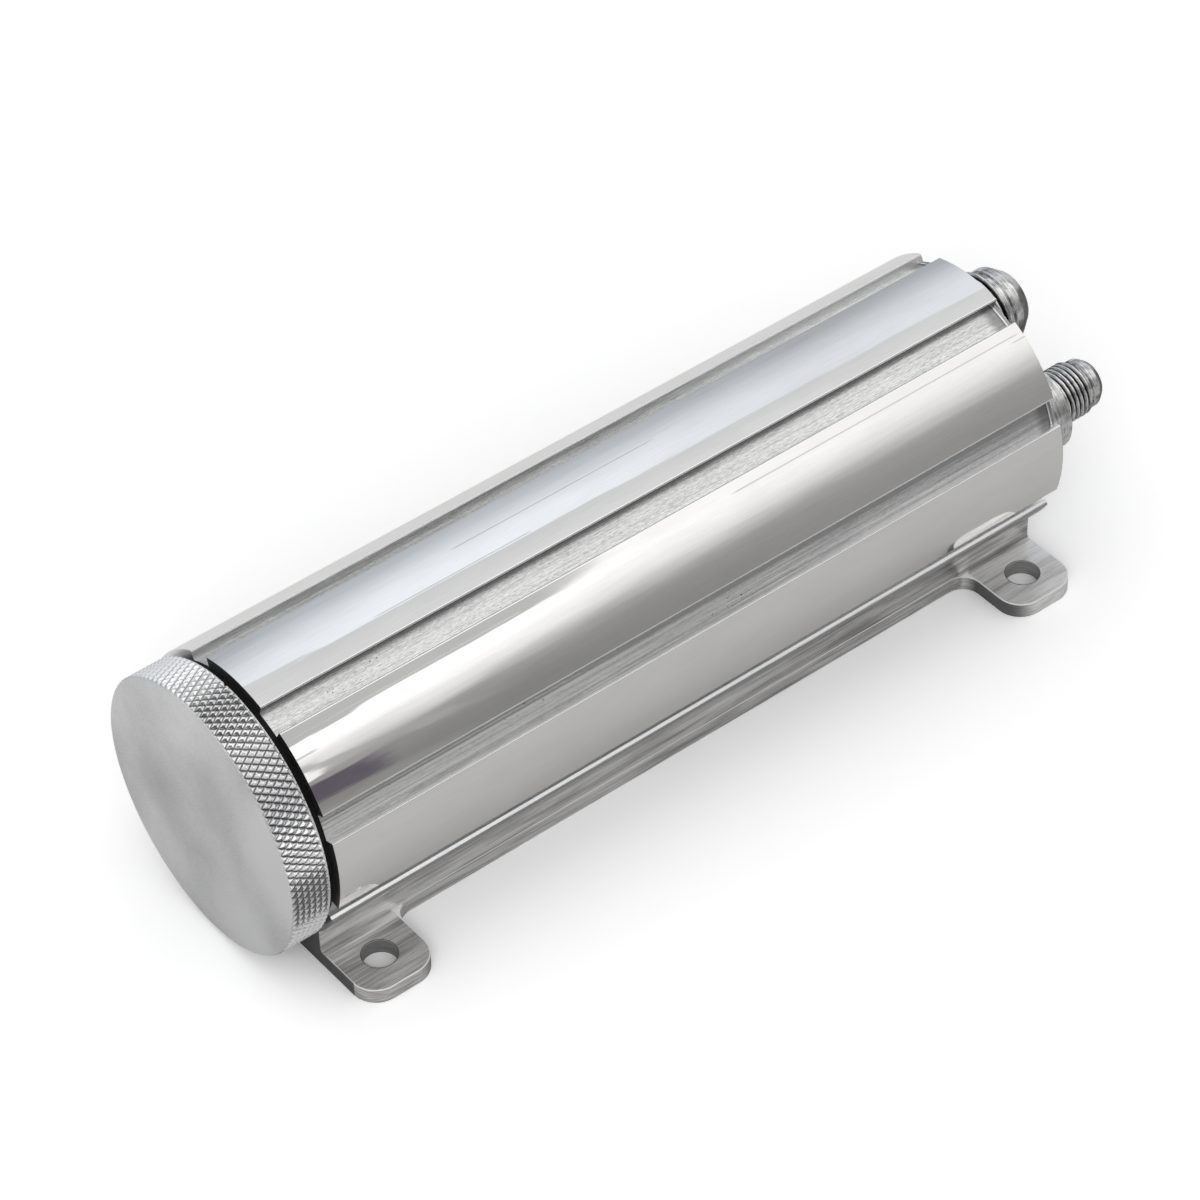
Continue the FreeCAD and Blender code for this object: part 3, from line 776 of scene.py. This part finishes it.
def nothing_selected():
    """Leaves edit mode and deselects everything."""
    if bpy.context.object and bpy.context.object.mode != "OBJECT":
        bpy.ops.object.mode_set(mode="OBJECT")
    bpy.ops.object.select_all(action="DESELECT")


def take(piece):
    """Makes this piece the only one selected, and the active one."""
    nothing_selected()
    piece.select_set(True)
    bpy.context.view_layer.objects.active = piece


def edit_all():
    """Selects the whole mesh in edit mode."""
    bpy.ops.object.mode_set(mode="EDIT")
    bpy.ops.mesh.select_all(action="SELECT")


def settle(piece):
    """Puts the piece's place into its mesh, so that its object sits at the origin."""
    take(piece)
    bpy.ops.object.transform_apply(location=True, rotation=True, scale=True)
    return piece


def draw_line(name, points):
    """Draws a line as a pen would: one vertex, extruded from point to point. Stays in edit mode."""
    nothing_selected()
    bpy.ops.mesh.primitive_plane_add(size=MM, location=points[0])
    piece = bpy.context.object
    piece.name = name
    edit_all()
    bpy.ops.mesh.merge(type="CENTER")
    for here, there in zip(points, points[1:]):
        bpy.ops.mesh.extrude_region_move(TRANSFORM_OT_translate={"value": there - here})
    return piece


def turn_on_lathe(name, outline, y=0.0, steps=96):
    """Spins an outline of (x, radius) points about a line along X, and closes its poles and seam."""
    piece = draw_line(name, [Vector((x, y, axis_z + radius)) for x, radius in outline])
    bpy.ops.mesh.select_all(action="SELECT")
    bpy.ops.mesh.spin(steps=steps, angle=2 * math.pi, center=(0, y, axis_z), axis=(1, 0, 0))
    bpy.ops.mesh.select_all(action="SELECT")
    bpy.ops.mesh.remove_doubles(threshold=0.001 * MM)
    bpy.ops.mesh.normals_make_consistent(inside=False)
    return settle(piece)


def smooth(piece, degrees):
    """Smooth shading, with edges sharper than this angle kept."""
    take(piece)
    bpy.ops.object.shade_smooth_by_angle(angle=math.radians(degrees))


def combine(piece, tool, operation):
    """Joins a tool's solid to the piece, or cuts it away."""
    take(piece)
    bpy.ops.object.modifier_add(type="BOOLEAN")
    made = piece.modifiers[-1]
    made.operation, made.object, made.solver = operation, tool, "EXACT"
    bpy.ops.object.modifier_apply(modifier=made.name)
    bpy.data.objects.remove(tool)
    return piece


def join(name, things):
    """One object out of several."""
    nothing_selected()
    for thing in things:
        thing.select_set(True)
    bpy.context.view_layer.objects.active = things[0]
    bpy.ops.object.join()
    things[0].name = name
    return things[0]


def place_piece(piece, material, body, slot, *nodes):
    """Gives a finished piece its material, its body and the nodes that it stands for. The slot is not used.
    """
    piece.data.materials.clear()
    piece.data.materials.append(material)
    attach(piece, body)
    if nodes:
        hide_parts(*nodes)
    print(piece.name, "has", len(piece.data.polygons), "faces")


# %% [markdown]
# ## Screw threads
#
# The threads' crests are the bright lines of the fittings, and a bump would leave their outline smooth. So
# the turned blank gets close rows of vertices where its thread is, and each vertex is pressed in by the depth
# of a true screw thread at its place: a narrow flat crest, straight flanks and a wider flat root. The phase
# goes up by one for each pitch along X and by one for each turn, and its sign makes the thread right-handed.

# %% Threads
thread_rows = 16
crest_half_width = 0.07
flank_width = 0.30
thread_depth_share = 0.60
fade_in_turns = 0.8
run_out_share, run_out_slope = 0.75, 1.5


def thread_cut(phase):
    """How deep the thread is at a phase between crests, from 0 on a crest to 1 in the root."""
    off_crest = abs((phase + 0.5) % 1.0 - 0.5)
    return min(1.0, max(0.0, (off_crest - crest_half_width) / flank_width))


def cut_thread(piece, y, start, end, crest_r, pitch):
    """Presses a right-hand thread into the close rows between two stations, fading out at both."""
    depth = thread_depth_share * pitch
    for vertex in piece.data.vertices:
        x, across, height = vertex.co.x, vertex.co.y - y, vertex.co.z - axis_z
        radius = math.hypot(across, height)
        if not start - 1e-6 <= x <= end + 1e-6 or abs(radius - crest_r) > 0.03 * MM:
            continue
        turn = math.atan2(height, -across) / (2 * math.pi)
        cut = depth * thread_cut((x - start) / pitch + turn)
        cut *= min(1.0, (x - start) / (fade_in_turns * pitch))
        cut = max(cut, depth * max(0.0, run_out_share - run_out_slope * (end - x) / pitch))
        vertex.co.y = y + across * (1 - cut / radius)
        vertex.co.z = axis_z + height * (1 - cut / radius)


def rows_between(start, end, radius, count):
    """Points at one radius, at equal steps from start to end."""
    return [(start + (end - start) * row / count, radius) for row in range(count + 1)]


# %% [markdown]
# ## The knurled cap
#
# Knurling presses two sets of slanted V grooves into the rim, and leaves small pyramids with worn flat tops.
# The photo shows 113 of them round the cap. The rim is spun with eight steps for each of them, and has a row
# of vertices at each edge of a pyramid, so that every groove falls on the grid. Its vertices are then pressed
# in to the depth of the nearest groove. The rest of the cap is turned, joined to it and bored, so that it has
# the same form as the solid that it replaces.

# %% Knurl
knurl_round = 113
knurl_cells = 25
knurl_grid = 8
knurl_depth = 0.62 * MM
knurl_top = 0.75
cap_bevel = 0.4 * MM
knurl_start, knurl_end = cap_low.x + cap_bevel, gasket_low.x - cap_bevel


def knurl_cut(across, along_x):
    """How deep the knurl is, with both places in pyramids: 0 on a flat top, 1 in a groove."""
    first = abs((across + along_x + 0.5) % 1.0 - 0.5)
    second = abs((across - along_x + 0.5) % 1.0 - 0.5)
    to_groove = 1 - 2 * max(first, second)
    return 1 - min(1.0, to_groove / knurl_top)


def press_knurl(piece):
    """Presses the diamonds into the rim."""
    row_step = (knurl_end - knurl_start) / knurl_cells
    for vertex in piece.data.vertices:
        height = vertex.co.z - axis_z
        radius = math.hypot(vertex.co.y, height)
        row = round((vertex.co.x - knurl_start) / row_step)
        if radius < cap_r - 0.01 * MM or not 0 <= row <= knurl_cells:
            continue
        column = round(math.atan2(height, vertex.co.y) / (2 * math.pi) * knurl_round * knurl_grid)
        cut = knurl_depth * knurl_cut(column / knurl_grid, row / knurl_grid)
        vertex.co.y *= 1 - cut / radius
        vertex.co.z = axis_z + height * (1 - cut / radius)
    take(piece)
    edit_all()
    bpy.ops.mesh.quads_convert_to_tris(quad_method="SHORTEST_DIAGONAL")
    nothing_selected()


# %% Cap blank
spigot_clearance = 0.05 * MM
spigot_r = bore_r - spigot_clearance
spigot_lead = 0.8 * MM
spigot_x = front_x + 10.0 * MM
spigot_pitch = 2.0 * MM
cavity_r = spigot_r - 4.95 * MM
cavity_floor_x = cap_low.x + 7.0 * MM
boss_r = 5.5 * MM
boss_x = cavity_floor_x + 13.0 * MM
overshoot = 1.0 * MM
spigot_steps = 120
cap_smooth = 14


def make_rim():
    """The cap's disc with its knurl."""
    face_x, rim_x = cap_low.x, gasket_low.x
    rim = rows_between(knurl_start, knurl_end, cap_r, knurl_cells)
    outline = [(face_x, 0.0), (face_x, cap_r - 3 * cap_bevel), (face_x, cap_r - cap_bevel)] + rim
    outline += [(rim_x, cap_r - cap_bevel), (rim_x, cap_r - 3 * cap_bevel), (rim_x, 0.0)]
    piece = turn_on_lathe("knurled_cap", outline, steps=knurl_grid * knurl_round)
    press_knurl(piece)
    return piece


def make_spigot():
    """The threaded spigot, before it is bored."""
    start, end = gasket_low.x - overshoot, spigot_x - spigot_lead
    first = front_x + 0.4 * MM
    count = round((end - first) / spigot_pitch * thread_rows)
    outline = [(start, 0.0), (start, spigot_r)] + rows_between(first, end, spigot_r, count)
    outline += [(spigot_x, spigot_r - spigot_lead), (spigot_x, 0.0)]
    piece = turn_on_lathe("spigot", outline, steps=spigot_steps)
    cut_thread(piece, 0.0, first, end, spigot_r, spigot_pitch)
    return piece


# %% Cap bores
filter_r = 3.45 * MM
filter_offset = 19.0 * MM
filter_pocket_x = cavity_floor_x - 4.4 * MM
vent_r = 0.6 * MM
vent_mouth = Vector((gasket_low.x, 0, axis_z + gasket_high.y + 1.0 * MM))
splash_hole_r = 1.25 * MM
splash_ring_r = spigot_r - 2.55 * MM
splash_hole_depth = 7.0 * MM
splash_hole_angles = (90, 210, 330)
slot_size = (9.0 * MM, 6.1 * MM, 1.3 * MM)
pin_r = 1.0 * MM
pin_x = boss_x - 4.0 * MM


def drill(start, end, radius):
    """A round cutter from one point to another."""
    nothing_selected()
    start, end = Vector(start), Vector(end)
    run = end - start
    bpy.ops.mesh.primitive_cylinder_add(
        vertices=48, radius=radius, depth=run.length, location=(start + end) / 2,
        rotation=run.to_track_quat("Z", "Y").to_euler())
    return settle(bpy.context.object)


def bore_cap(piece):
    """Cuts the cavity, the dipstick's slot and pin hole, the vent and the screw holes."""
    end = spigot_x + overshoot
    cavity = turn_on_lathe("cavity", [(cavity_floor_x, boss_r), (boss_x, boss_r), (boss_x, 0.0), (end, 0.0),
                                      (end, cavity_r), (cavity_floor_x, cavity_r), (cavity_floor_x, boss_r)])
    combine(piece, cavity, "DIFFERENCE")
    nothing_selected()
    bpy.ops.mesh.primitive_cube_add(size=1.0, location=(boss_x - 3.5 * MM, 0, axis_z), scale=slot_size)
    holes = [settle(bpy.context.object)]
    pocket = Vector((filter_pocket_x, 0, axis_z + filter_offset))
    holes.append(drill(pocket, (cavity_floor_x + overshoot, 0, pocket.z), filter_r))
    for angle in splash_hole_angles:
        y = splash_ring_r * math.cos(math.radians(angle))
        z = axis_z + splash_ring_r * math.sin(math.radians(angle))
        holes.append(drill((spigot_x - splash_hole_depth, y, z), (end, y, z), splash_hole_r))
    combine(piece, join("holes", holes), "DIFFERENCE")
    inner = Vector((filter_pocket_x + 2 * vent_r, 0, pocket.z))
    slope = (inner - vent_mouth).normalized()
    pin = drill((pin_x, 0, axis_z - boss_r - overshoot), (pin_x, 0, axis_z + boss_r + overshoot), pin_r)
    vent = drill(vent_mouth - slope * 2 * overshoot, inner + slope * overshoot * 0.5, vent_r)
    combine(piece, join("crossings", [pin, vent]), "DIFFERENCE")
    return piece


# %% Cap finish
# Each patch's place across and above the axis, radius and strength, in millimetres
face_patches = [(16, -2, 15, 0.75), (-8, -24, 14, 0.35), (-6, 22, 9, 0.15)]
# face_lights are painted highlights: soft lighter spots on the face.
face_lights = [(-34, 8, 26, 2.0), (33, 10, 11, 0.2), (0, 31, 21, 0.6), (18, -26, 20, 1.0),
               (-12, -26, 22, 1.3)]
knurl_valley = cap_r - knurl_depth


def blots(at, spots):
    """Soft round patches on the face."""
    here = about_axis(at)
    return sum((1 - how_far(here.across - y * MM, here.height - z * MM).past(0, 0, reach)) * strength
               for y, z, reach, strength in spots)


def knurled(at):
    """1 on the knurl."""
    here = about_axis(at)
    return here.radius.past(cap_r, -0.9, -0.7) * here.x.band(knurl_start, knurl_end, 0.05 * MM)


def cap_colour(at):
    """Light grey with soft patches and painted highlights on the face, and painted shade in the knurl's
    grooves.
    """
    clouds = at.noise(1000, 22, 22, 1.0) * 0.5 + at.noise(1000, 4, 4, 3.0) * 0.14
    grain = at.noise(0.5, 0.5, 0.5, 2.0) * 0.32
    # Painted highlights: face_lights lighten soft spots of the face.
    shade = clouds + grain + blots(at, face_patches) * 0.30 - blots(at, face_lights) * 0.34
    face = shade.step(0.05, 0.85).colours(0.98, 0.58)
    # Painted shade: the knurl is painted darker deeper in its grooves, and light on its tops.
    rim = about_axis(at).radius.past(knurl_valley, 0.03, 0.32)
    return knurled(at).colours(face, rim.colours(0.38, 1.0))


def cap_roughness(at):
    """Blasted fine and even on the face, and bright where the knurl's tool has pressed."""
    mask = knurled(at)
    face = 0.42 + at.noise(6, 6, 6) * 0.08
    return mask * 0.14 + (1 - mask) * face


def cap_height(at):
    """The grain of the blasted face, and the torn metal of the knurl."""
    grain = at.noise(0.16, 0.16, 0.16, 2.0) * 0.7 + turned_rings(at) * 0.2
    torn = at.noise(0.35, 0.35, 0.35, 2.0) * 6.0
    mask = knurled(at)
    return mask * torn + (1 - mask) * grain


cap_metal = new_material("cap_metal", cap_colour, cap_roughness, height=cap_height)
cap = combine(make_rim(), make_spigot(), "UNION")
bore_cap(cap)
smooth(cap, cap_smooth)
place_piece(cap, cap_metal, "cap", "cap_aluminium", "filler_cap")

# %% [markdown]
# ## The two hose fittings
#
# Both are turned from bar: a round collar that is welded to the plug, a thread, a short neck and a nose that
# seals on a 37 degree cone. The nose's corners are rounded, which gives it the soft highlight of the photo.

# %% Fittings
fitting_steps = 128
fitting_smooth = 35
collar_length = 10.0 * MM
collar_bevel = 0.4 * MM
shank_wall = 1.6 * MM
seat_angle = math.radians(37.0)
nose_round = 0.5 * MM


def fitting_outline(low, high, bore, collar, thread, neck, seat):
    """The closed outline of a fitting. Each of its parts is a radius with an end or a length."""
    collar_r, collar_x = collar
    thread_r, thread_x, rows = thread
    neck_r, neck_x = neck
    seat_r, cone_x = seat
    nose_r = seat_r - (high.x - cone_x) * math.tan(seat_angle)
    soft = nose_round
    half = seat_angle / 2
    corner = [(cone_x - soft, seat_r), (cone_x - 0.3 * soft, seat_r - 0.05 * soft),
              (cone_x + 0.3 * soft * math.cos(half), seat_r - 0.28 * soft),
              (cone_x + soft, seat_r - soft * math.tan(seat_angle))]
    tip = [(high.x - 0.8 * soft, nose_r + 0.8 * soft * math.tan(seat_angle)),
           (high.x - 0.25 * soft, nose_r + 0.05 * soft), (high.x, nose_r - 0.6 * soft)]
    return ([(low.x, bore), (low.x, bore + shank_wall), (rear_x, bore + shank_wall), (rear_x, collar_r),
             (collar_x - collar_bevel, collar_r), (collar_x, collar_r - collar_bevel),
             (collar_x, thread_r + 0.2 * MM)]
            + rows_between(collar_x, thread_x, thread_r, rows)
            + [(thread_x, neck_r), (neck_x, neck_r), (neck_x, seat_r - 0.2 * MM), (neck_x + 0.2 * MM, seat_r)]
            + corner + tip + [(high.x, bore), (low.x, bore)])


def make_fitting(node, bore, pitch, thread, neck, seat):
    """One hose fitting: turned, then threaded."""
    low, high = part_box(node)
    y = (low.y + high.y) / 2
    collar_x = rear_x + collar_length
    thread_x = rear_x + thread[1]
    rows = round((thread_x - collar_x) / pitch * thread_rows)
    outline = fitting_outline(low, high, bore, ((high.y - low.y) / 2, collar_x), (thread[0], thread_x, rows),
                              (neck[0], thread_x + neck[1]), (seat[0], high.x - seat[1]))
    piece = turn_on_lathe("threaded_" + node, outline, y, steps=fitting_steps)
    cut_thread(piece, y, collar_x, thread_x, thread[0], pitch)
    smooth(piece, fitting_smooth)
    return piece


# %% Fitting finish
return_y = (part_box("return_fitting")[0].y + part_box("return_fitting")[1].y) / 2
suction_y = (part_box("suction_fitting")[0].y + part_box("suction_fitting")[1].y) / 2
# Each fitting's bore and pitch, and the radius and length of its thread, neck and seat, in millimetres
fitting_sizes = {"return": ((3.8, 1.411), (7.14, 20.5), (5.9, 0.9), (6.4, 2.0)),
                 "suction": ((6.2, 1.814), (11.11, 23.2), (9.5, 1.9), (10.15, 3.8))}
turned_pale = (0.92, 0.91, 0.90, 1.0)


def fitting_material(name, centre_y, thread, pitch, root_shade_reach):
    """Machined aluminium, with painted shade in the thread's roots up to a height."""
    root_r = thread[0] - thread_depth_share * pitch

    def colour(at):
        x, _, _, radius, angle = about_axis(at, centre_y)
        rings = ring_noise(x * 6000.0, radius * 3000.0, angle * 0.03)
        turned = (rings * 0.6 + at.noise(1.5, 1.5, 1.5, 3.0) * 0.4).step(0.34, 0.64)
        turned = turned.colours(0.33, turned_pale)
        threaded = x.band(rear_x + collar_length, rear_x + thread[1] - 0.1 * MM, 0.1 * MM)
        # Painted shade: the thread's roots are painted nearly black.
        root = threaded * (1 - radius.step(root_r + root_shade_reach * 0.25, root_r + root_shade_reach))
        # Painted highlight: the thread's crests are painted nearly white.
        crest = threaded * radius.step(thread[0] - 0.22 * MM, thread[0] - 0.08 * MM)
        return crest.colours(root.colours(turned, 0.04), 0.97)

    def height(at):
        x, _, _, radius, angle = about_axis(at, centre_y)
        rings = ring_noise(x * 5000.0, radius * 3000.0, angle * 0.03, detail=1.0)
        return rings * 0.7 + at.noise(1.4, 1.4, 1.4) * 0.6

    return new_material(name, colour, lambda at: 0.13 + at.noise(1, 1, 1) * 0.14, height=height,
                        bump=0.4, distance=0.04 * MM)


for kind, centre_y, root_shade_reach in (("return", return_y, 0.42 * MM), ("suction", suction_y, 0.95 * MM)):
    node = kind + "_fitting"
    (bore, pitch), thread, neck, seat = (millimetres(*pair) for pair in fitting_sizes[kind])
    metal = fitting_material(kind + "_metal", centre_y, thread, pitch, root_shade_reach)
    place_piece(make_fitting(node, bore, pitch, thread, neck, seat), metal, "tube", "fitting_aluminium", node)

# %% [markdown]
# ## Rubber
#
# The ring under the cap and the plug's sealing ring are moulded black rubber. Both solids have the right
# shape, so they only need a dull black with the fine grain of the mould.

# %% Rubber
rubber = new_material("black_rubber", lambda at: at.noise(2, 2, 2).colours(0.004, 0.011),
                      lambda at: 0.42 + at.noise(1, 1, 1) * 0.2, metallic=0.0,
                      height=lambda at: at.noise(0.1, 0.1, 0.1), extra={"Specular IOR Level": 0.14})
for node in ("cap_gasket", "plug_o_ring"):
    wear(node, rubber)

# %% [markdown]
# ## Turned and welded parts of the rear end
#
# The plug's face keeps the rings of its last cut. A weld bead is a row of overlapping puddles, so its metal
# has a ripple that goes round the axis it was welded about, with a slight blue tint from the heat.

# %% Turned parts


def turned_colour(at):
    """Bright turned metal. The plug's flange stays bright at its front edge, and its rim behind is painted
    shade.
    """
    x, _, _, radius, _ = about_axis(at)
    base = turned_rings(at).step(0.3, 0.7).colours(0.70, 0.90)
    flange = rear_x - flange_thickness
    rim = radius.past(groove_r, 0, 0.1) * x.past(flange, 0.35, 0.45)
    # Painted shade on the flange's rim, behind its bright front edge.
    return (rim * (1 - x.past(rear_x, -0.06, -0.02))).colours(base, 0.34)


turned_metal = new_material("turned_metal", turned_colour, lambda at: 0.14 + turned_rings(at) * 0.14,
                            height=turned_rings, bump=0.35, distance=0.03 * MM)
for node in ("rear_plug", "return_diffuser", "baffle_standoffs"):
    wear(node, turned_metal)

# %% Weld beads
puddle = 1.3 * MM
return_bead_r, suction_bead_r = millimetres(12, 13)
bead_reach = millimetres(14.3, 14.5)


def weld_ripple(at, centre_y, radius):
    """A row of scallops round an axis, one for each puddle."""
    count = round(2 * math.pi * radius / puddle)
    return (about_axis(at, centre_y).angle * (count / 360.0)).maths("FRACT").maths("POWER", 0.5)


def weld_height(at):
    """Ripples round the tube's axis for the stitches, and round each fitting's axis for its bead."""
    is_large = about_axis(at).across.past(0, -0.1, 0.1)
    fittings = is_large * weld_ripple(at, suction_y, suction_bead_r)
    fittings = fittings + (1 - is_large) * weld_ripple(at, return_y, return_bead_r)
    beyond = about_axis(at, return_y).radius.smaller(about_axis(at, suction_y).radius).step(*bead_reach)
    return beyond * weld_ripple(at, 0.0, land_r) + (1 - beyond) * fittings


weld_metal = new_material("weld_metal",
                          lambda at: weld_height(at).colours(grey(0.44, 0.01), grey(0.78, 0.01)),
                          0.22, height=weld_height, bump=0.8, distance=0.15 * MM)
for node in ("plug_stitch_welds", "fitting_welds"):
    wear(node, weld_metal)

# %% [markdown]
# ## Small parts inside
#
# Plates, screws, the dipstick and the strainer are stainless steel with a brushed grain. The mesh gets its
# weave from two sets of waves, one along its sleeve and one round it. The vent's filter is grains of bronze
# pressed together, so its bumps are small balls, and the magnet has a bright nickel plate.

# %% Stainless steel


def steel_grain(at):
    """Short marks of a belt, across the tube."""
    return at.noise(0.15, 5, 5)


steel = new_material("brushed_steel",
                     lambda at: steel_grain(at).step(0.3, 0.7).colours(0.42, 0.62),
                     lambda at: 0.22 + steel_grain(at) * 0.15, height=steel_grain, bump=0.25)
for node in ("splash_plate", "splash_plate_screws", "dipstick", "dipstick_pin", "strainer_cage", "baffle",
             "baffle_screws"):
    wear(node, steel)

# %% Strainer mesh
weave = 0.5 * MM
weave_r = 9.35 * MM


def mesh_weave(at):
    """Wires that go over and under each other, along the sleeve and round it."""
    here = about_axis(at, suction_y)
    around = here.angle * (math.pi / 180 * weave_r)
    lengthwise = abs((around * (math.pi / weave)).maths("SINE"))
    return lengthwise.larger(abs((here.x * (math.pi / weave)).maths("SINE")))


# Painted shade: the low spots of the weave are painted near black.
mesh_steel = new_material("woven_steel",
                          lambda at: mesh_weave(at).step(0.45, 0.8).colours(0.03, 0.60),
                          0.28, height=mesh_weave, bump=0.8, distance=0.12 * MM)
wear("strainer_mesh", mesh_steel)

# %% Filter and magnet
grain_size = 0.35 * MM
bronze_pale, bronze_dark = (0.60, 0.40, 0.22, 1.0), (0.16, 0.10, 0.05, 1.0)
nickel_warm = (0.70, 0.685, 0.65, 1.0)


def bronze_grains(at):
    """Small pressed balls."""
    return at.node("ShaderNodeTexVoronoi", sockets={"Vector": at, "Scale": 1 / grain_size})


# Painted shade: the gaps between the grains are painted dark.
bronze = new_material("sintered_bronze",
                      lambda at: bronze_grains(at).step(0.2, 0.8).colours(bronze_pale, bronze_dark), 0.42,
                      height=lambda at: 1 - bronze_grains(at), bump=0.8, distance=0.12 * MM)
wear("vent_filter", bronze)
nickel = new_material("magnet_nickel", lambda at: at.noise(3, 3, 3).colours(0.60, nickel_warm),
                      lambda at: 0.10 + at.noise(2, 2, 2) * 0.08,
                      height=lambda at: at.noise(0.6, 0.6, 0.6), bump=0.1)
wear("magnet", nickel)
